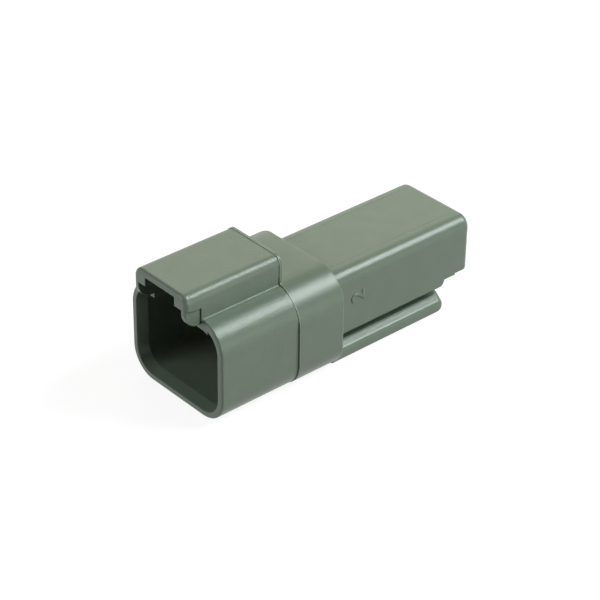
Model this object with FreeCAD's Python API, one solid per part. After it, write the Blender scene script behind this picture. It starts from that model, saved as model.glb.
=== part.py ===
import FreeCAD, Part
import math
import os

# Sealed two-way connector, the half with the open socket. Millimetres, +Z up, -Y towards the mating plug.
# The origin is under the middle of the connector, on the surface that it rests on.

# Socket shroud, at the front
shroud_width = 17.9
shroud_height = 14.3
shroud_length = 12.45
shroud_corner = 3.95
socket_wall = 1.33
socket_depth = 16.6
rim_wall = 0.84
lead_in_depth = 1.55
lead_in_free_width = 12.4
rim_bevel = 0.2

# Hood over the socket, which takes the plug's latch
hood_width = 10.2
hood_rise = 4.0
hood_reach = 2.4
hood_edge_radius = 1.28
hood_front_radius = 0.55
hood_roof = 1.04
hood_rear_wall = 1.2
channel_width = 8.42
ledge_gap_width = 5.76
ledge_thickness = 0.98
ledge_length = 5.0
roof_lead_in = 0.3
tab_bottom_drop = 0.65
tab_corner_radius = 2.1
tab_inset = 0.16
tab_line_sag = 0.25
tab_line_front_drop = 1.65
tab_line_rear_drop = 2.25
slit_width = 0.14
slit_depth = 0.3

# Collar behind the shroud, and the fine groove and step where the two halves of the mould met.
# The mould's inserts left low pads and ridges on top.
collar_length = 7.5
collar_step = 0.22
collar_top_radius = 4.9
collar_bottom_radius = 4.1
collar_edge_radius = 0.25
groove_width = 0.07
groove_depth = 0.06
band_length = 0.42
band_step = 0.08
pad_rise = 0.05
collar_pad_width = 8.4
hood_foot_width = 0.12

# Rear body
contact_height = 7.9
contact_pitch = 6.0
body_length = 25.1
body_width = 13.06
body_height = 9.33
body_top_radius = 1.77
body_bottom_radius = 0.35
body_end_radius = 0.9
foot_step_height = 1.07
foot_step_from_rear = 4.43
foot_radius = 1.25
heel_step_height = 0.22
heel_step_from_rear = 2.45
ridge_right = 4.05
ridge_left = 4.62
ridge_width = 0.12
ridge_end_gap = 1.6
rear_pad_width = 5.2
rear_pad_rise = 0.15

# Clip rail under the rear body
rail_width = 15.2
rail_thickness = 1.9
rail_length = 21.0
rail_top_radius = 0.62
rail_bottom_radius = 1.1
rail_end_flat_width = 9.6
rail_end_slant = 1.45
rail_end_radius = 1.2
rail_web_width = 9.2
rail_web_short = 1.1
clip_notch_width = 4.2
clip_notch_length = 2.6
clip_notch_depth = 0.9
clip_notch_setback = 6.0

# Contacts
pin_radius = 0.785
pin_root_radius = 0.95
pin_nose_length = 0.7
pin_tip_radius = 0.42
pin_reach = 7.1
shoulder_radius = 1.55
shoulder_length = 1.3
neck_radius = 1.05
neck_length = 2.8
flange_radius = 1.42
flange_length = 0.9
barrel_radius = 1.31
barrel_length = 6.3
wire_cup_radius = 0.8
wire_cup_depth = 5.6
inspection_hole_radius = 0.35
inspection_hole_setback = 4.7

# Cavities and lock fingers
cavity_clearance = 0.1
pin_hole_clearance = 0.22
front_stop = 1.2
cavity_mouth_radius = 2.2
cavity_mouth_length = 1.2
finger_gap_width = 1.5
finger_thickness = 0.5
finger_width = 3.4
finger_length = 6.3
finger_side_gap = 0.6
nose_length = 0.9
nose_width = 2.4
nose_clearance = 0.1
nose_gap = 0.05

# Wedge lock
wedge_plate_width = 11.2
wedge_plate_height = 5.1
wedge_plate_thickness = 1.6
wedge_plate_corner = 1.3
wedge_plate_bevel = 0.3
wedge_seat_depth = 0.6
wedge_seat_clearance = 0.15
wedge_back_gap = 0.05
tongue_clearance = 0.15
tongue_height = 4.3
tongue_end_gap = 0.4
tongue_taper = 0.3
tool_slot_width = 1.3
tool_slot_height = 3.0
tool_slot_depth = 2.4

# Wire seal and its pocket
seal_length = 7.8
seal_width = 11.0
seal_height = 5.6
pocket_clearance = 0.05
seal_lip_length = 0.75
seal_lip_overlap = 0.4
seal_ridge_count = 3
seal_ridge_length = 1.5
seal_ridge_rise = 0.35
wire_hole_radius = 1.0
wire_groove_radius = 1.35
wire_land_length = 1.6
wire_land_count = 3

# Stations along the connector, front to back
overall_length = hood_reach + shroud_length + collar_length + body_length + rear_pad_rise
hood_front = -overall_length / 2
rim = hood_front + hood_reach
collar_front = rim + shroud_length
collar_rear = collar_front + collar_length
body_rear = collar_rear + body_length
socket_floor = rim + socket_depth
seat_floor = socket_floor + wedge_seat_depth
cavity_front = seat_floor + front_stop
wedge_back = seat_floor - wedge_back_gap
wedge_front = wedge_back - wedge_plate_thickness
shoulder_back = cavity_front + shoulder_length
finger_tip = shoulder_back + nose_gap
finger_root = finger_tip + finger_length
pocket_rear = body_rear - seal_lip_length
pocket_front = pocket_rear - seal_length - 2 * pocket_clearance

# Levels
hood_top = shroud_height + hood_rise
roof_underside = hood_top - hood_roof
ledge_underside = roof_underside - ledge_thickness
tab_bottom = shroud_height - tab_bottom_drop
collar_top = shroud_height + collar_step
body_bottom = contact_height - body_height / 2
body_top = contact_height + body_height / 2
foot_bottom = body_bottom + foot_step_height
heel_bottom = foot_bottom + heel_step_height

# Overlap that two solids get where they are fused, and by which a cutter runs past a face
bite = 0.5


def outline(corners, place):
    """Closed wire through corners given as (u, v, radius), each corner rounded by its own radius."""
    points = [FreeCAD.Vector(u, v, 0) for u, v, radius in corners]
    entries = []
    exits = []
    middles = []
    for index, (u, v, radius) in enumerate(corners):
        here = points[index]
        to_last = (points[index - 1] - here).normalize()
        to_next = (points[(index + 1) % len(points)] - here).normalize()
        half_angle = to_last.getAngle(to_next) / 2
        setback = radius / math.tan(half_angle)
        inward = (to_last + to_next).normalize() if radius else FreeCAD.Vector()
        entries.append(here + to_last * setback)
        exits.append(here + to_next * setback)
        middles.append(here + inward * (radius / math.sin(half_angle) - radius))
    edges = []
    for index, (u, v, radius) in enumerate(corners):
        if radius:
            arc_points = [place(p.x, p.y) for p in (entries[index], middles[index], exits[index])]
            edges.append(Part.Arc(*arc_points).toShape())
        start = exits[index]
        end = entries[(index + 1) % len(corners)]
        if (end - start).Length > 1e-6:
            edges.append(Part.makeLine(place(start.x, start.y), place(end.x, end.y)))
    return Part.Wire(edges)


def across(corners, front, rear):
    """Prism along Y of an outline in X and Z."""
    wire = outline(corners, lambda x, z: FreeCAD.Vector(x, front, z))
    return Part.Face(wire).extrude(FreeCAD.Vector(0, rear - front, 0))


def side(corners, half_width):
    """Prism across the connector of an outline in Y and Z."""
    wire = outline(corners, lambda y, z: FreeCAD.Vector(-half_width, y, z))
    return Part.Face(wire).extrude(FreeCAD.Vector(2 * half_width, 0, 0))


def plan(corners, bottom, top):
    """Upright prism of an outline in X and Y."""
    wire = outline(corners, lambda x, y: FreeCAD.Vector(x, y, bottom))
    return Part.Face(wire).extrude(FreeCAD.Vector(0, 0, top - bottom))


def turned(corners, x):
    """Solid turned about a contact's axis, from an outline in distance along Y and radius."""
    axis = FreeCAD.Vector(x, 0, contact_height)
    wire = outline(corners, lambda y, radius: FreeCAD.Vector(x + radius, y, contact_height))
    return Part.Face(wire).revolve(axis, FreeCAD.Vector(0, 1, 0), 360)


def bevelled(small, full, front, length):
    """Short piece that widens from one outline to another of the same kind, for a bevelled front edge."""
    front_wire = outline(small, lambda x, z: FreeCAD.Vector(x, front, z))
    rear_wire = outline(full, lambda x, z: FreeCAD.Vector(x, front + length, z))
    return Part.makeLoft([front_wire, rear_wire], True, True)


def block(low_x, high_x, front, rear, bottom, top):
    return Part.makeBox(high_x - low_x, rear - front, top - bottom, FreeCAD.Vector(low_x, front, bottom))


def rectangle(width, bottom, top, bottom_radius, top_radius):
    """Corners of an outline that is symmetric left and right."""
    half = width / 2
    return [(half, bottom, bottom_radius), (half, top, top_radius), (-half, top, top_radius),
            (-half, bottom, bottom_radius)]


def stadium(width, height):
    """Corners of an outline about the contacts' height, with half-round ends."""
    radius = height / 2
    return rectangle(width, contact_height - height / 2, contact_height + height / 2, radius, radius)


def contact_places():
    """Distances across of the contacts, with number 1 on the left and number 2 on the right."""
    return [-contact_pitch / 2, contact_pitch / 2]


def shroud():
    """Outside of the socket, from its rounded rim to the groove at the collar."""
    full = rectangle(shroud_width, 0, shroud_height, shroud_corner, shroud_corner)
    small = rectangle(shroud_width - 2 * rim_bevel, rim_bevel, shroud_height - rim_bevel,
                      shroud_corner - rim_bevel, shroud_corner - rim_bevel)
    body = across(full, rim + rim_bevel, collar_front - groove_width)
    return body.fuse(bevelled(small, full, rim, rim_bevel))


def groove_core():
    """Sunk ring between the shroud in front of it and the collar behind it."""
    front = collar_front - groove_width - bite
    low = rectangle(shroud_width - 2 * groove_depth, groove_depth, shroud_height - groove_depth,
                    shroud_corner - groove_depth, shroud_corner - groove_depth)
    return across(low, front, collar_front)


def edges_in(shape, low, high):
    """Edges of a shape whose middle lies inside the box between two corners."""
    box = FreeCAD.BoundBox(FreeCAD.Vector(low), FreeCAD.Vector(high))
    return [edge for edge in shape.Edges if box.isInside(edge.CenterOfMass)]


def hood():
    """Raised block over the socket with a tab at each front corner, and its band on the collar."""
    half = hood_width / 2
    front_view = rectangle(hood_width, tab_bottom, hood_top, 0, hood_edge_radius)
    body = across(front_view, hood_front, collar_front)
    front_edges = edges_in(body, (-half - bite, hood_front - bite, tab_bottom + bite),
                           (half + bite, hood_front + bite, hood_top + bite))
    body = body.makeFillet(hood_front_radius, front_edges)
    side_view = [(hood_front, tab_bottom, tab_corner_radius), (collar_front, tab_bottom, 0),
                 (collar_front, hood_top, 0), (hood_front, hood_top, 0)]
    body = body.common(side(side_view, half))
    band_view = rectangle(hood_width + 2 * band_step, shroud_height - bite, hood_top + band_step, 0,
                          hood_edge_radius + band_step)
    band_rear = collar_front + band_length
    band_top_view = rectangle(hood_width + 2 * band_step, collar_front, band_rear, 0, band_step)
    band_side_view = [(collar_front, shroud_height - bite, 0), (band_rear, shroud_height - bite, 0),
                      (band_rear, hood_top + band_step, band_step), (collar_front, hood_top + band_step, 0)]
    band = across(band_view, collar_front, band_rear).common(side(band_side_view, hood_width))
    band = band.common(plan(band_top_view, shroud_height - bite, hood_top + band_step))
    foot = raised_pad(-half - hood_foot_width, half + hood_foot_width, rim + rim_bevel,
                      collar_front - groove_width, shroud_height)
    return body.fuse([band, foot])


def collar():
    """Thicker section behind the shroud, with the flat pad that an insert of the mould left on top."""
    width = shroud_width + 2 * collar_step
    front_view = rectangle(width, 0, collar_top, collar_bottom_radius, collar_top_radius)
    side_view = [(collar_front, 0, 0), (collar_rear, 0, 0), (collar_rear, collar_top, collar_edge_radius),
                 (collar_front, collar_top, 0)]
    top_view = rectangle(width, collar_front, collar_rear, 0, collar_edge_radius)
    body = across(front_view, collar_front, collar_rear).common(side(side_view, width / 2))
    body = body.common(plan(top_view, 0, collar_top))
    pad_front = collar_front + band_length / 2
    pad_rear = collar_rear - collar_edge_radius
    half_pad = collar_pad_width / 2
    return body.fuse(raised_pad(-half_pad, half_pad, pad_front, pad_rear, collar_top))


def raised_pad(low_x, high_x, front, rear, level):
    """Low flat pad with sloping edges."""
    bottom = [(low_x, front, 0), (high_x, front, 0), (high_x, rear, 0), (low_x, rear, 0)]
    slope = pad_rise
    top = [(low_x + slope, front + slope, 0), (high_x - slope, front + slope, 0),
           (high_x - slope, rear - slope, 0), (low_x + slope, rear - slope, 0)]
    below = outline(bottom, lambda x, y: FreeCAD.Vector(x, y, level - pad_rise))
    foot = outline(bottom, lambda x, y: FreeCAD.Vector(x, y, level))
    crown = outline(top, lambda x, y: FreeCAD.Vector(x, y, level + pad_rise))
    return Part.makeLoft([below, foot, crown], True, True)


def rear_body():
    """Body round the contacts, with its stepped underside and rounded rear end."""
    half = body_width / 2
    front = collar_rear - bite
    foot = body_rear - foot_step_from_rear
    heel = body_rear - heel_step_from_rear
    main_view = rectangle(body_width, body_bottom, body_top, body_bottom_radius, body_top_radius)
    main_side = [(front, body_bottom, 0), (foot, body_bottom, foot_radius), (foot, body_top, 0),
                 (front, body_top, 0)]
    main = across(main_view, front, foot).common(side(main_side, half))
    heel_view = rectangle(body_width, foot_bottom, body_top, 0, body_top_radius)
    end_view = rectangle(body_width, heel_bottom, body_top, 0, body_top_radius)
    end = across(end_view, front, body_rear)
    rear_edges = edges_in(end, (-half - bite, body_rear - bite, heel_bottom - bite),
                          (half + bite, body_rear + bite, body_top + bite))
    end = end.makeFillet(body_end_radius, rear_edges)
    ridges = []
    for x in (-ridge_left, ridge_right):
        ridges.append(raised_pad(x - ridge_width / 2, x + ridge_width / 2, collar_rear + bite,
                                 body_rear - ridge_end_gap, body_top))
    pocket_top = contact_height + seal_height / 2
    rear_pad = block(-rear_pad_width / 2, rear_pad_width / 2, body_rear - bite, body_rear + rear_pad_rise,
                     pocket_top, body_top - body_end_radius)
    return main.fuse([across(heel_view, front, heel), end, rear_pad] + ridges)


def clip_rail():
    """T-shaped rail for a mounting clip: a plate rounded all round, its web and the clip's notch."""
    half = rail_width / 2
    flat = rail_end_flat_width / 2
    rear = collar_rear + rail_length
    slant_front = rear - rail_end_slant
    top_view = [(-half, collar_rear, 0), (half, collar_rear, 0), (half, slant_front, rail_end_radius),
                (flat, rear, 0), (-flat, rear, 0), (-half, slant_front, rail_end_radius)]
    plate = plan(top_view, 0, rail_thickness)
    for level, radius in ((0, rail_bottom_radius), (rail_thickness, rail_top_radius)):
        rim_edges = edges_in(plate, (-half - bite, collar_rear + bite, level - bite),
                             (half + bite, rear + bite, level + bite))
        plate = plate.makeFillet(radius, rim_edges)
    web = block(-rail_web_width / 2, rail_web_width / 2, collar_rear - bite, rear - rail_web_short,
                rail_thickness - bite, body_bottom + body_bottom_radius)
    notch_front = collar_rear + clip_notch_setback
    notch = block(-clip_notch_width / 2, clip_notch_width / 2, notch_front,
                  notch_front + clip_notch_length, -bite, clip_notch_depth)
    return plate.fuse(web).cut(notch)


def socket_hollow():
    """Inside of the socket, with the lead-in round its rim except under the hood."""
    inner = rectangle(shroud_width - 2 * socket_wall, socket_wall, shroud_height - socket_wall,
                      shroud_corner - socket_wall, shroud_corner - socket_wall)
    mouth = rectangle(shroud_width - 2 * rim_wall, rim_wall, shroud_height - rim_wall,
                      shroud_corner - rim_wall, shroud_corner - rim_wall)
    hollow = across(inner, rim - bite, socket_floor)
    lead_in = bevelled(mouth, inner, rim, lead_in_depth)
    kept_lip = block(-lead_in_free_width / 2, lead_in_free_width / 2, rim - bite, rim + lead_in_depth + bite,
                     shroud_height / 2, shroud_height)
    return hollow.fuse(lead_in.cut(kept_lip))


def latch_hollow():
    """Channel for the plug's latch: two ledges at the front and a taller pocket behind them."""
    pocket_end = collar_front - hood_rear_wall
    low = shroud_height / 2
    half = channel_width / 2
    channel = block(-half, half, hood_front - bite, pocket_end, low, ledge_underside)
    gap = block(-ledge_gap_width / 2, ledge_gap_width / 2, hood_front - bite, pocket_end, low,
                roof_underside)
    pocket = block(-half, half, hood_front + ledge_length, pocket_end, low, roof_underside)
    slope = [(hood_front - bite, roof_underside + roof_lead_in + bite, 0),
             (hood_front + roof_lead_in, roof_underside, 0),
             (hood_front + roof_lead_in, roof_underside - bite, 0),
             (hood_front - bite, roof_underside - bite, 0)]
    lead_in = side(slope, ledge_gap_width / 2)
    return channel.fuse([gap, pocket, lead_in])


def tab_details():
    """Sunk outer face of each front tab and the slit where the tab meets the shroud's rim."""
    half = hood_width / 2
    line_front = FreeCAD.Vector(0, hood_front - bite, hood_top - tab_line_front_drop)
    line_rear = FreeCAD.Vector(0, rim, hood_top - tab_line_rear_drop)
    sag = FreeCAD.Vector(0, 0, -tab_line_sag)
    middle = (line_front + line_rear) * 0.5 + sag
    low_front = FreeCAD.Vector(0, hood_front - bite, tab_bottom - bite)
    low_rear = FreeCAD.Vector(0, rim, tab_bottom - bite)
    face = Part.Face(Part.Wire([Part.makeLine(low_rear, low_front), Part.makeLine(low_front, line_front),
                                Part.Arc(line_front, middle, line_rear).toShape(),
                                Part.makeLine(line_rear, low_rear)]))
    cuts = []
    for direction in (-1, 1):
        start = FreeCAD.Vector(direction * (half - tab_inset), 0, 0)
        cuts.append(face.translated(start).extrude(FreeCAD.Vector(direction * bite, 0, 0)))
        inner = direction * (half - slit_depth)
        outer = direction * (half + bite)
        cuts.append(block(min(inner, outer), max(inner, outer), rim - slit_width, rim,
                          tab_bottom + tab_inset, line_rear.z))
    return cuts[0].fuse(cuts[1:])


def contact_cavity(x):
    """Bore that takes one contact from behind, with the hole for its pin in the front stop."""
    bore_radius = shoulder_radius + cavity_clearance
    pin_hole = pin_root_radius + pin_hole_clearance
    corners = [(socket_floor - bite, 0, 0), (socket_floor - bite, pin_hole, 0), (cavity_front, pin_hole, 0),
               (cavity_front, bore_radius, 0), (pocket_front - cavity_mouth_length, bore_radius, 0),
               (pocket_front, cavity_mouth_radius, 0), (pocket_front + bite, cavity_mouth_radius, 0),
               (pocket_front + bite, 0, 0)]
    return turned(corners, x)


def finger_window():
    """Space round the two lock fingers, and between them for the wedge's tongue."""
    reach = contact_pitch / 2
    half = finger_width / 2 + finger_side_gap
    window = block(-reach, reach, cavity_front, finger_root, contact_height - half, contact_height + half)
    slot_half = tongue_height / 2 + tongue_clearance
    slot = block(-finger_gap_width / 2, finger_gap_width / 2, socket_floor - bite, finger_root,
                 contact_height - slot_half, contact_height + slot_half)
    return window.fuse(slot)


def lock_finger(direction):
    """Spring finger beside a contact, with the nose that holds the contact's shoulder from behind."""
    inner = finger_gap_width / 2
    outer = inner + finger_thickness
    low_x, high_x = sorted((direction * inner, direction * outer))
    half = finger_width / 2
    tongue = block(low_x, high_x, finger_tip, finger_root + bite, contact_height - half,
                   contact_height + half)
    nose_x = contact_pitch / 2 - neck_radius - nose_clearance
    corners = [(direction * inner, finger_tip, 0), (direction * nose_x, finger_tip, 0),
               (direction * nose_x, finger_tip + nose_length / 3, 0),
               (direction * outer, finger_tip + nose_length, 0),
               (direction * inner, finger_tip + nose_length, 0)]
    nose = plan(corners, contact_height - nose_width / 2, contact_height + nose_width / 2)
    return tongue.fuse(nose)


def seal_pocket():
    """Pocket for the wire seal, with a narrower mouth whose lip holds the seal in."""
    pocket = across(stadium(seal_width, seal_height), pocket_front, pocket_rear)
    mouth = across(stadium(seal_width - 2 * seal_lip_overlap, seal_height - 2 * seal_lip_overlap),
                   pocket_rear - bite, body_rear + rear_pad_rise + bite)
    return pocket.fuse(mouth)


def wedge_seat():
    """Shallow recess in the socket's floor for the wedge's plate."""
    width = wedge_plate_width + 2 * wedge_seat_clearance
    half_height = wedge_plate_height / 2 + wedge_seat_clearance
    corner = wedge_plate_corner + wedge_seat_clearance
    corners = rectangle(width, contact_height - half_height, contact_height + half_height, corner, corner)
    return across(corners, socket_floor - bite, seat_floor)


def housing():
    """The one-piece moulding that carries everything else."""
    body = shroud().fuse([groove_core(), hood(), collar(), rear_body(), clip_rail()])
    body = body.cut([socket_hollow(), latch_hollow(), tab_details(), wedge_seat(), seal_pocket()])
    body = body.cut([contact_cavity(x) for x in contact_places()])
    body = body.cut(finger_window())
    body = body.fuse([lock_finger(direction) for direction in (-1, 1)])
    return body.removeSplitter()


def contact_pin(x):
    """Turned contact: rounded pin, shoulder, neck, flange and the barrel that is crimped on the wire."""
    tip = wedge_front - pin_reach
    root = wedge_front
    neck_end = shoulder_back + neck_length
    flange_end = neck_end + flange_length
    end = flange_end + barrel_length
    flank = pin_root_radius - pin_radius
    corners = [(tip, 0, 0), (tip, pin_tip_radius, 0), (tip + pin_nose_length, pin_radius, 0),
               (root - flank, pin_radius, 0), (root, pin_root_radius, 0), (cavity_front, pin_root_radius, 0),
               (cavity_front, shoulder_radius, 0), (shoulder_back, shoulder_radius, 0),
               (shoulder_back, neck_radius, 0), (neck_end, neck_radius, 0), (neck_end, flange_radius, 0),
               (flange_end, flange_radius, 0), (flange_end, barrel_radius, 0), (end, barrel_radius, 0),
               (end, wire_cup_radius, 0), (end - wire_cup_depth, wire_cup_radius, 0),
               (end - wire_cup_depth - wire_cup_radius / 2, 0, 0)]
    hole = Part.makeCylinder(inspection_hole_radius, 2 * barrel_radius,
                             FreeCAD.Vector(x, end - inspection_hole_setback, contact_height),
                             FreeCAD.Vector(0, 0, 1))
    return turned(corners, x).cut(hole)


def wedge_lock():
    """Plate with a hole for each pin, and the tongue that keeps the lock fingers from opening."""
    half_height = wedge_plate_height / 2
    full = rectangle(wedge_plate_width, contact_height - half_height, contact_height + half_height,
                     wedge_plate_corner, wedge_plate_corner)
    small = rectangle(wedge_plate_width - 2 * wedge_plate_bevel,
                      contact_height - half_height + wedge_plate_bevel,
                      contact_height + half_height - wedge_plate_bevel,
                      wedge_plate_corner - wedge_plate_bevel, wedge_plate_corner - wedge_plate_bevel)
    plate = across(full, wedge_front + wedge_plate_bevel, wedge_back)
    plate = plate.fuse(bevelled(small, full, wedge_front, wedge_plate_bevel))
    half = finger_gap_width / 2 - tongue_clearance
    end = finger_root - tongue_end_gap
    low = contact_height - tongue_height / 2
    high = contact_height + tongue_height / 2
    top_view = [(-half, wedge_back - bite, 0), (half, wedge_back - bite, 0), (half, end - half, 0),
                (half - tongue_taper, end, 0), (tongue_taper - half, end, 0), (-half, end - half, 0)]
    tongue = plan(top_view, low, high)
    body = plate.fuse(tongue)
    hole_length = wedge_plate_thickness + 2 * bite
    for x in contact_places():
        hole_start = FreeCAD.Vector(x, wedge_front - bite, contact_height)
        hole = Part.makeCylinder(pin_root_radius + pin_hole_clearance, hole_length, hole_start,
                                 FreeCAD.Vector(0, 1, 0))
        body = body.cut(hole)
    half_slot = min(tool_slot_width, 2 * half) / 2
    slot = block(-half_slot, half_slot, wedge_front - bite, wedge_front + tool_slot_depth,
                 contact_height - tool_slot_height / 2, contact_height + tool_slot_height / 2)
    return body.cut(slot).removeSplitter()


def wire_seal():
    """Silicone grommet: ridges outside that press on the pocket, and lands inside that press on a wire."""
    front = pocket_front + pocket_clearance
    rear = pocket_rear - pocket_clearance
    core = across(stadium(seal_width - 2 * seal_ridge_rise, seal_height - 2 * seal_ridge_rise), front, rear)
    ridge_pitch = seal_length / seal_ridge_count
    crown = stadium(seal_width - 2 * pocket_clearance, seal_height - 2 * pocket_clearance)
    foot = stadium(seal_width - 2 * seal_ridge_rise, seal_height - 2 * seal_ridge_rise)
    ridges = []
    for index in range(seal_ridge_count):
        middle = front + ridge_pitch * (index + 0.5)
        places = [(middle - seal_ridge_length / 2, foot), (middle - seal_ridge_length / 6, crown),
                  (middle + seal_ridge_length / 6, crown), (middle + seal_ridge_length / 2, foot)]
        wires = [outline(corners, lambda x, z, y=y: FreeCAD.Vector(x, y, z)) for y, corners in places]
        ridges.append(Part.makeLoft(wires, True, True))
    seal = core.fuse(ridges)
    return seal.cut([wire_hole(x, front, rear) for x in contact_places()])


def wire_hole(x, front, rear):
    """Cutter for one wire hole: narrow lands with wider grooves between them."""
    land_pitch = (rear - front - wire_land_length) / (wire_land_count - 1)
    slope = wire_groove_radius - wire_hole_radius
    corners = [(front - bite, 0, 0), (front - bite, wire_hole_radius, 0)]
    for index in range(wire_land_count - 1):
        groove_start = front + wire_land_length + land_pitch * index
        groove_end = front + land_pitch * (index + 1)
        corners += [(groove_start, wire_hole_radius, 0), (groove_start + slope, wire_groove_radius, 0),
                    (groove_end - slope, wire_groove_radius, 0), (groove_end, wire_hole_radius, 0)]
    corners += [(rear + bite, wire_hole_radius, 0), (rear + bite, 0, 0)]
    return turned(corners, x)


def save(shape, name):
    shape.exportStep("parts/" + name + ".step")


os.makedirs("parts", exist_ok=True)
save(housing(), "housing")
save(wedge_lock(), "wedge_lock")
save(wire_seal(), "wire_seal")
for number, place_x in enumerate(contact_places(), start=1):
    save(contact_pin(place_x), "contact_pin_" + str(number))
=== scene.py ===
import math

import bmesh
import bpy
from mathutils import Matrix, Vector


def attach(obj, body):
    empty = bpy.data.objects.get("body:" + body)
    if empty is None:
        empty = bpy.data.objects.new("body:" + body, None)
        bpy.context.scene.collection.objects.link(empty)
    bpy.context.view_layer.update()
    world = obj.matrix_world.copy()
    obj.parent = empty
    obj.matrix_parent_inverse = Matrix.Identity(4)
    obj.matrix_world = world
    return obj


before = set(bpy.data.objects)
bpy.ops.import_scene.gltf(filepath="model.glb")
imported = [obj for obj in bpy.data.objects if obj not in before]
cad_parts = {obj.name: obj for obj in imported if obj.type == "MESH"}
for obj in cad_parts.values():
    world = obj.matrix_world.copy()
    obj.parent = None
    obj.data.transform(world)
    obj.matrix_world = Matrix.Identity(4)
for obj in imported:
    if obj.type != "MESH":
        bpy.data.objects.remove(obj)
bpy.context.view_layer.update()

mm = 0.001

# Housing
# The one-piece moulding of the connector: socket, latch hood, collar, rear body and clip rail.
# Glass-filled nylon, grey-green right through, shot in a steel tool with a finely eroded satin finish.
# The tool's halves met between the shroud and the collar, and left a fine groove there, in painted shade,
# and a flash, under a painted highlight.
nylon_green = (0.142, 0.187, 0.136, 1)
# Painted highlight: paler green laid on the edges, where light would catch their slight rounding.
nylon_green_edge_highlight = (0.205, 0.27, 0.205, 1)
# Flash colour, partly painted highlight: a light strip that also lifts the shade the collar's step casts.
flash_highlight_green = (0.34, 0.41, 0.32, 1)
# Painted shade: near-black green laid in the groove at the shroud's corners, where shade falls.
groove_painted_shade = (0.035, 0.045, 0.035, 1)
nylon_index = 1.5
green_roughness = 0.33
green_cloud_depth = 0.035
green_grain_height = 0.03 * mm
grain_depth_behind = 0.4
roughness_spread = 0.05
grain_size = 0.26 * mm
cloud_size = 2.6 * mm
noise_middle = 0.5
noise_range = (0.3, 0.7)
edge_radius = 0.18 * mm
edge_samples = 8
edge_agreement = (0.999, 0.90)
# Share of the painted edge highlight that the edges take.
edge_highlight_share = 0.7

parting_y = -8.95 * mm
groove_middle_y = parting_y - 0.08 * mm
groove_half_width = 0.065 * mm
groove_roughness = 0.9
flash_middle_y = parting_y + 0.04 * mm
flash_half_width = 0.055 * mm
shroud_corner_z = 13.4 * mm
shroud_corner_half_height = 2.0 * mm

collar_rear_y = -1.45 * mm
above_rail_z = 2.4 * mm
rail_shoulder_x = 5.6 * mm
rail_shoulder_slope = math.radians(30)


def feed(tree, node, feeds):
    """Give each named input of a node a value, or link it to another node's output."""
    for name, value in feeds.items():
        if isinstance(value, bpy.types.NodeSocket):
            tree.links.new(value, node.inputs[name])
        else:
            node.inputs[name].default_value = value


def place(tree, kind, feeds=None, **settings):
    """Add a node with its settings, and feed its inputs."""
    node = tree.nodes.new(kind)
    for name, value in settings.items():
        setattr(node, name, value)
    feed(tree, node, feeds or {})
    return node


def reckon(tree, operation, *values):
    """Result of one sum on values or other nodes' outputs."""
    return place(tree, "ShaderNodeMath", dict(enumerate(values)), operation=operation).outputs["Value"]


def remap(tree, value, source=(0.0, 1.0), target=(0.0, 1.0)):
    """A value carried from one range to another, and held inside it."""
    ranges = {"From Min": source[0], "From Max": source[1], "To Min": target[0], "To Max": target[1]}
    return place(tree, "ShaderNodeMapRange", {"Value": value, **ranges}).outputs["Result"]


def blend(tree, amount, first, second, blend_type="MIX"):
    """First colour with an amount of the second blended over it."""
    colours = {"Fac": amount, "Color1": first, "Color2": second}
    return place(tree, "ShaderNodeMixRGB", colours, blend_type=blend_type).outputs["Color"]


def bumped(tree, height, distance=1.0, strength=1.0, normal=None):
    """Normal of a surface with a relief on it: a height of 1 stands a distance in metres proud."""
    feeds = {"Height": height, "Distance": distance, "Strength": strength}
    if normal is not None:
        feeds["Normal"] = normal
    return place(tree, "ShaderNodeBump", feeds).outputs["Normal"]


def effect(name, inputs, outputs):
    """Start a node group for an effect, and give it with what goes in and what comes out."""
    group = bpy.data.node_groups.new(name, "ShaderNodeTree")
    for direction, sockets in (("INPUT", inputs), ("OUTPUT", outputs)):
        for socket, kind in sockets.items():
            group.interface.new_socket(socket, in_out=direction, socket_type="NodeSocket" + kind)
    return group, place(group, "NodeGroupInput").outputs, place(group, "NodeGroupOutput")


def use_effect(tree, group, feeds):
    """Place an effect in a material, and give its outputs."""
    return place(tree, "ShaderNodeGroup", feeds, node_tree=group).outputs


def moulded_grain_effect():
    """Fine eroded grain and faint flow clouds, as values between 0 and 1."""
    group, given, result = effect(
        "moulded grain",
        {"Vector": "Vector", "Grain Scale": "Float", "Cloud Scale": "Float"},
        {"Grain": "Float", "Cloud": "Float"},
    )
    for name, detail, roughness in (("Grain", 3.0, 0.6), ("Cloud", 2.0, 0.5)):
        noise = place(group, "ShaderNodeTexNoise", {
            "Vector": given["Vector"],
            "Scale": given[name + " Scale"],
            "Detail": detail,
            "Roughness": roughness,
        })
        feed(group, result, {name: noise.outputs["Fac"]})
    return group


def soft_edge_effect():
    """Normal of a slightly rounded edge, and a mask that grows to 1 where it leaves the flat normal."""
    group, given, result = effect("soft edge", {"Radius": "Float"}, {"Normal": "Vector", "Edge": "Float"})
    bevel = place(group, "ShaderNodeBevel", {"Radius": given["Radius"]}, samples=edge_samples)
    rounded = bevel.outputs["Normal"]
    flat = place(group, "ShaderNodeNewGeometry").outputs["Normal"]
    agree = place(group, "ShaderNodeVectorMath", {0: rounded, 1: flat}, operation="DOT_PRODUCT")
    edge = remap(group, agree.outputs["Value"], edge_agreement)
    feed(group, result, {"Normal": rounded, "Edge": edge})
    return group


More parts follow.
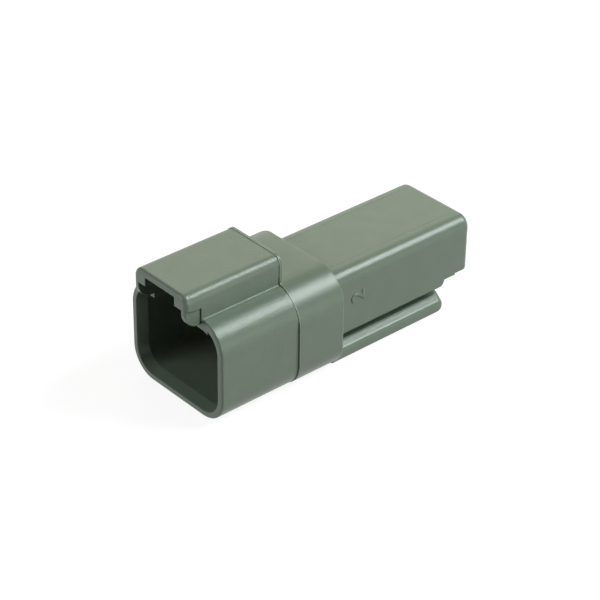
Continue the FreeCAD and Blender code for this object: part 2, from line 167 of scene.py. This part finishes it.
def parting_line_effect():
    """Masks round the parting line: all that lies in front, the groove at the corners for painted shade, and
    the flash strip for a painted highlight.
    """
    group, given, result = effect(
        "parting line", {"Vector": "Vector"}, {"Front": "Float", "Groove": "Float", "Flash Highlight": "Float"}
    )
    along = place(group, "ShaderNodeSeparateXYZ", {"Vector": given["Vector"]}).outputs
    groove = reckon(group, "COMPARE", along["Y"], groove_middle_y, groove_half_width)
    corner = reckon(group, "COMPARE", along["Z"], shroud_corner_z, shroud_corner_half_height)
    feed(group, result, {
        "Front": reckon(group, "LESS_THAN", along["Y"], parting_y),
        "Groove": reckon(group, "MULTIPLY", groove, corner),
        "Flash Highlight": reckon(group, "COMPARE", along["Y"], flash_middle_y, flash_half_width),
    })
    return group


def rail_shoulder_effect():
    """Height by which the upper face of the clip rail falls away outwards, on either side."""
    group, given, result = effect("rail shoulder", {"Vector": "Vector"}, {"Height": "Float"})
    along = place(group, "ShaderNodeSeparateXYZ", {"Vector": given["Vector"]}).outputs
    outside = reckon(group, "SUBTRACT", reckon(group, "ABSOLUTE", along["X"]), rail_shoulder_x)
    fall = reckon(group, "MULTIPLY", reckon(group, "MAXIMUM", outside, 0.0), -math.tan(rail_shoulder_slope))
    low = reckon(group, "LESS_THAN", along["Z"], above_rail_z)
    behind = reckon(group, "GREATER_THAN", along["Y"], collar_rear_y)
    rail = reckon(group, "MULTIPLY", low, behind)
    feed(group, result, {"Height": reckon(group, "MULTIPLY", fall, rail)})
    return group


moulded_grain = moulded_grain_effect()
soft_edge = soft_edge_effect()
parting_line = parting_line_effect()
rail_shoulder = rail_shoulder_effect()


def new_finish(name, constants):
    """Start a material: give it with its tree and its shader, whose own sockets hold the constants."""
    material = bpy.data.materials.new(name)
    material.use_nodes = True
    shader = material.node_tree.nodes["Principled BSDF"]
    feed(material.node_tree, shader, constants)
    return material, material.node_tree, shader


def moulded_nylon(tree, colour, edge_highlight_colour, gloss, cloud_depth):
    """What both nylons share: place, grain, soft edge's normal, clouded colour with a painted highlight on
    the edges, and roughness.
    """
    where = place(tree, "ShaderNodeTexCoord").outputs["Object"]
    grain = use_effect(tree, moulded_grain, {
        "Vector": where,
        "Grain Scale": 1 / grain_size,
        "Cloud Scale": 1 / cloud_size,
    })
    edge = use_effect(tree, soft_edge, {"Radius": edge_radius})
    tone = remap(tree, grain["Cloud"], noise_range, (1 - cloud_depth, 1 + cloud_depth))
    clouded = blend(tree, 1.0, colour, tone, "MULTIPLY")
    # Painted highlight: the edges are blended towards the paler colour.
    edge_highlighted = blend(tree, reckon(tree, "MULTIPLY", edge["Edge"], edge_highlight_share), clouded, edge_highlight_colour)
    satin = remap(tree, grain["Grain"], noise_range, (gloss - roughness_spread, gloss + roughness_spread))
    return where, grain["Grain"], edge["Normal"], edge_highlighted, satin


def green_nylon_finish():
    """Satin nylon with its parting line, shown with painted shade in the groove and a painted highlight on
    the flash, coarser grain in front of it, and the rail's sloping shoulder.
    """
    material, tree, shader = new_finish("green nylon", {"IOR": nylon_index})
    where, grain, normal, colour, satin = moulded_nylon(
        tree, nylon_green, nylon_green_edge_highlight, green_roughness, green_cloud_depth
    )
    line = use_effect(tree, parting_line, {"Vector": where})
    # Painted highlight on the flash strip, which also lifts the step's shade.
    flash_highlighted = blend(tree, line["Flash Highlight"], colour, flash_highlight_green)
    in_groove = reckon(tree, "MULTIPLY", line["Groove"], groove_roughness)
    depth = remap(tree, line["Front"], target=(grain_depth_behind, 1.0))
    relief = reckon(tree, "MULTIPLY", reckon(tree, "SUBTRACT", grain, noise_middle), depth)
    shoulder = use_effect(tree, rail_shoulder, {"Vector": where})
    sloping = bumped(tree, shoulder["Height"], normal=normal)
    # The groove at the corners gets painted shade in the base colour.
    feed(tree, shader, {
        "Base Color": blend(tree, line["Groove"], flash_highlighted, groove_painted_shade),
        "Roughness": reckon(tree, "MAXIMUM", satin, in_groove),
        "Normal": bumped(tree, relief, green_grain_height, normal=sloping),
    })
    return material


def finish_node(name, material):
    """Give a solid of the frame its own finish."""
    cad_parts[name].data.materials.clear()
    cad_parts[name].data.materials.append(material)


green_nylon = green_nylon_finish()
finish_node("housing", green_nylon)

# Cavity numbers
# A 2 on the right of the rear body and a 1 on the left say which contact lies there.
# They were cut into the mould, so they stand a tenth of a millimetre proud of the same nylon.
number_height = 2.25 * mm
number_width = 1.55 * mm
number_rise = 0.09 * mm
number_y = 3.3 * mm
number_z = 8.27 * mm
body_half_width = 6.53 * mm
figure_depth = 0.05
figure_edge = 0.012
figure_edge_steps = 2


def figure_mesh(text):
    """Mesh of one figure as the font gives it, with softened edges, and its lowest and highest corner."""
    letters = bpy.data.curves.new("figure " + text, "FONT")
    letters.body = text
    letters.extrude = figure_depth
    letters.bevel_depth = figure_edge
    letters.bevel_resolution = figure_edge_steps
    shown = bpy.data.objects.new("figure " + text, letters)
    bpy.context.scene.collection.objects.link(shown)
    bpy.context.view_layer.update()
    mesh = bpy.data.meshes.new_from_object(shown.evaluated_get(bpy.context.evaluated_depsgraph_get()))
    bpy.data.objects.remove(shown)
    low = Vector(min(v.co[axis] for v in mesh.vertices) for axis in range(3))
    high = Vector(max(v.co[axis] for v in mesh.vertices) for axis in range(3))
    return mesh, low, high


def cavity_number(text, direction):
    """Raised figure on one side of the rear body, its top towards the socket."""
    mesh, low, high = figure_mesh(text)
    size = high - low
    height_scale = number_height / size.y
    width_scale = min(number_width / size.x, height_scale)
    across = Vector((0, 0, direction))
    upward = Vector((0, -1, 0))
    outward = Vector((direction, 0, 0))
    turn = Matrix((across, upward, outward)).transposed().to_4x4()
    seat = Matrix.Translation((direction * body_half_width, number_y, number_z))
    fit = Matrix.Diagonal((width_scale, height_scale, 2 * number_rise / size.z, 1))
    mesh.transform(seat @ turn @ fit @ Matrix.Translation(-(low + high) / 2))
    mesh.materials.append(green_nylon)
    piece = bpy.data.objects.new("cavity_number_" + text, mesh)
    bpy.context.scene.collection.objects.link(piece)
    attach(piece, "receptacle")


cavity_number("1", -1)
cavity_number("2", 1)

# Contacts
# Two turned pins of nickel plated copper alloy, pushed into the housing from behind with their wires.
# They are bright, with the fine rings that the cutter left and a few duller clouds in the plate.
nickel = (0.63, 0.61, 0.56, 1)
nickel_dull = (0.50, 0.48, 0.43, 1)
nickel_cloud_size = 1.4 * mm
nickel_roughness = (0.18, 0.36)
ring_pitch = 0.09 * mm
ring_depth = 0.002 * mm
ring_strength = 0.5
ring_unevenness = 0.3
band_length_at_scale_one = 0.314


def nickel_plate_finish():
    """Nickel plate over turned rings."""
    material, tree, shader = new_finish("nickel plate", {"Metallic": 1.0})
    where = place(tree, "ShaderNodeTexCoord").outputs["Object"]
    clouds = use_effect(tree, moulded_grain, {
        "Vector": where,
        "Grain Scale": 1 / grain_size,
        "Cloud Scale": 1 / nickel_cloud_size,
    })["Cloud"]
    rings = place(tree, "ShaderNodeTexWave", {
        "Vector": where,
        "Scale": band_length_at_scale_one / ring_pitch,
        "Distortion": ring_unevenness,
    }, wave_type="BANDS", bands_direction="Y")
    feed(tree, shader, {
        "Base Color": blend(tree, clouds, nickel, nickel_dull),
        "Roughness": remap(tree, clouds, target=nickel_roughness),
        "Normal": bumped(tree, rings.outputs["Fac"], ring_depth, ring_strength),
    })
    return material


nickel_plate = nickel_plate_finish()
for contact in ("contact_pin_1", "contact_pin_2"):
    finish_node(contact, nickel_plate)

# Wedge lock
# The secondary lock, pushed into the socket by hand over the pins, with its tongue between the lock fingers.
# It is orange nylon, so that a missing one is seen at once.
wedge_orange = (0.78, 0.17, 0.02, 1)
# Painted highlight: paler orange laid on the edges.
wedge_orange_edge_highlight = (0.90, 0.34, 0.10, 1)
orange_roughness = 0.38
orange_cloud_depth = 0.05
orange_grain_height = 0.005 * mm
orange_grain_strength = 0.6


def orange_nylon_finish():
    """Smoother nylon than the housing's, with a painted highlight that makes its edges paler."""
    material, tree, shader = new_finish("orange nylon", {"IOR": nylon_index})
    _, grain, normal, colour, satin = moulded_nylon(
        tree, wedge_orange, wedge_orange_edge_highlight, orange_roughness, orange_cloud_depth
    )
    relief = bumped(tree, grain, orange_grain_height, orange_grain_strength, normal)
    feed(tree, shader, {"Base Color": colour, "Roughness": satin, "Normal": relief})
    return material


finish_node("wedge_lock", orange_nylon_finish())

# Wire seal
# Silicone grommet pressed into the rear body, which grips both wires with ribs inside its holes.
# It is dull and slightly oily, with a fine bloom on it.
silicone = (0.42, 0.085, 0.035, 1)
silicone_pale = (0.52, 0.16, 0.09, 1)
silicone_index = 1.42
silicone_sheen = 0.15
silicone_grain_size = 0.12 * mm
silicone_grain_height = 0.004 * mm
silicone_cloud_size = 1.1 * mm
silicone_roughness = (0.45, 0.65)


def silicone_rubber_finish():
    """Dull rubber with a bloom in clouds."""
    constants = {"IOR": silicone_index, "Sheen Weight": silicone_sheen}
    material, tree, shader = new_finish("silicone rubber", constants)
    where = place(tree, "ShaderNodeTexCoord").outputs["Object"]
    grain = use_effect(tree, moulded_grain, {
        "Vector": where,
        "Grain Scale": 1 / silicone_grain_size,
        "Cloud Scale": 1 / silicone_cloud_size,
    })
    feed(tree, shader, {
        "Base Color": blend(tree, grain["Cloud"], silicone, silicone_pale),
        "Roughness": remap(tree, grain["Grain"], target=silicone_roughness),
        "Normal": bumped(tree, grain["Grain"], silicone_grain_height),
    })
    return material


finish_node("wire_seal", silicone_rubber_finish())

# Stage
# Pale paper floor that shows white and keeps a soft shadow, with a low paper wall all round it, so that a
# low view is white too. Four soft lamps light the connector, and almost nothing comes from the room.
floor_radius = 2.0
wall_height = 0.45
wall_sides = 96
white_near = 0.89
white_far = 1.0
white_reach = (0.05, 0.5)
paper_shadow = (0.2, 0.2, 0.2, 1)
paper_bounce = (0.15, 0.15, 0.15, 1)
room_colour = (0.97, 1.0, 0.97, 1)
room_light = 0.02


def seen_directly(tree):
    """1 for rays that show a surface as it is: to the camera, in a reflection or through glass."""
    path = place(tree, "ShaderNodeLightPath").outputs
    shown = reckon(tree, "MAXIMUM", path["Is Camera Ray"], path["Is Glossy Ray"])
    return reckon(tree, "MAXIMUM", shown, path["Is Transmission Ray"])


def paper_finish():
    """Paper that shows white, whiter far off, and gives only a little of its light back to the connector."""
    material = bpy.data.materials.new("floor paper")
    material.use_nodes = True
    tree = material.node_tree
    tree.nodes.clear()
    where = place(tree, "ShaderNodeTexCoord").outputs["Object"]
    away = place(tree, "ShaderNodeVectorMath", {0: where}, operation="LENGTH").outputs["Value"]
    white = remap(tree, away, white_reach, (white_near, white_far))
    glow = place(tree, "ShaderNodeEmission", {"Strength": white}).outputs["Emission"]
    shadow = place(tree, "ShaderNodeBsdfDiffuse", {"Color": paper_shadow}).outputs["BSDF"]
    bounce = place(tree, "ShaderNodeBsdfDiffuse", {"Color": paper_bounce}).outputs["BSDF"]
    shown = place(tree, "ShaderNodeAddShader", {0: shadow, 1: glow}).outputs["Shader"]
    paper = place(tree, "ShaderNodeMixShader", {"Fac": seen_directly(tree), 1: bounce, 2: shown})
    place(tree, "ShaderNodeOutputMaterial", {"Surface": paper.outputs["Shader"]})
    return material


def paper_floor():
    """Round floor and the wall that stands on its rim."""
    shape = bmesh.new()
    bmesh.ops.create_circle(shape, cap_ends=True, segments=wall_sides, radius=floor_radius)
    bmesh.ops.create_cone(
        shape, cap_ends=False, segments=wall_sides, radius1=floor_radius, radius2=floor_radius,
        depth=wall_height, matrix=Matrix.Translation((0, 0, wall_height / 2))
    )
    mesh = bpy.data.meshes.new("floor")
    shape.to_mesh(mesh)
    shape.free()
    mesh.materials.append(paper_finish())
    floor = bpy.data.objects.new("floor", mesh)
    bpy.context.scene.collection.objects.link(floor)


def dim_room():
    """World that fills the deepest shadows a little."""
    world = bpy.data.worlds.new("studio")
    world.use_nodes = True
    background = world.node_tree.nodes["Background"]
    feed(world.node_tree, background, {"Color": room_colour, "Strength": room_light})
    bpy.context.scene.world = world


def lamp(name, direction, distance, side, watts, colour):
    """Soft square lamp that looks at the connector from a direction."""
    light = bpy.data.lights.new(name, "AREA")
    light.color = colour
    light.shape = "RECTANGLE"
    light.size = side
    light.size_y = side
    light.energy = watts
    shown = bpy.data.objects.new(name, light)
    away = Vector(direction).normalized()
    facing = away.to_track_quat("Z", "Y").to_matrix().to_4x4()
    shown.matrix_world = Matrix.Translation(away * distance) @ facing
    bpy.context.scene.collection.objects.link(shown)


paper_floor()
dim_room()
lamp("rear_left_lamp", (-0.63, 0.56, 0.54), 0.8, 0.6, 1.9, (1.0, 0.97, 0.84))
lamp("rear_right_lamp", (0.42, 0.56, 0.71), 0.6, 0.27, 3.35, (0.93, 1.0, 1.0))
lamp("right_lamp", (1.0, 0.2, 0.2), 0.7, 0.3, 1.5, (0.98, 1.0, 0.97))
lamp("front_left_lamp", (-0.4, -0.85, 0.42), 0.7, 0.45, 2.3, (0.95, 0.96, 0.98))

# Point of view
# The camera stands where the photograph was taken from: in front, to the right and above.
# Its angles, distance and lens were fitted to the edges that show in the photograph.
view_azimuth = math.radians(48.238)
view_elevation = math.radians(32.758)
view_roll = math.radians(0.850)
view_target = Vector((0.176, -1.033, 6.342)) * mm
view_distance = 0.275
lens_length = 126.713
film_width = 36.0
nearest_shown = 0.01

camera_data = bpy.data.cameras.new("camera")
camera_data.lens = lens_length
camera_data.sensor_width = film_width
camera_data.clip_start = nearest_shown
camera = bpy.data.objects.new("camera", camera_data)
level_share = math.cos(view_elevation)
back = Vector((
    math.sin(view_azimuth) * level_share,
    -math.cos(view_azimuth) * level_share,
    math.sin(view_elevation),
))
level = Vector((0, 0, 1)).cross(back).normalized()
upright = back.cross(level)
right = level * math.cos(view_roll) + upright * math.sin(view_roll)
up = upright * math.cos(view_roll) - level * math.sin(view_roll)
turned = Matrix((right, up, back)).transposed().to_4x4()
camera.matrix_world = Matrix.Translation(view_target + back * view_distance) @ turned
bpy.context.scene.collection.objects.link(camera)
bpy.context.scene.camera = camera
bpy.context.scene.view_settings.view_transform = "Standard"
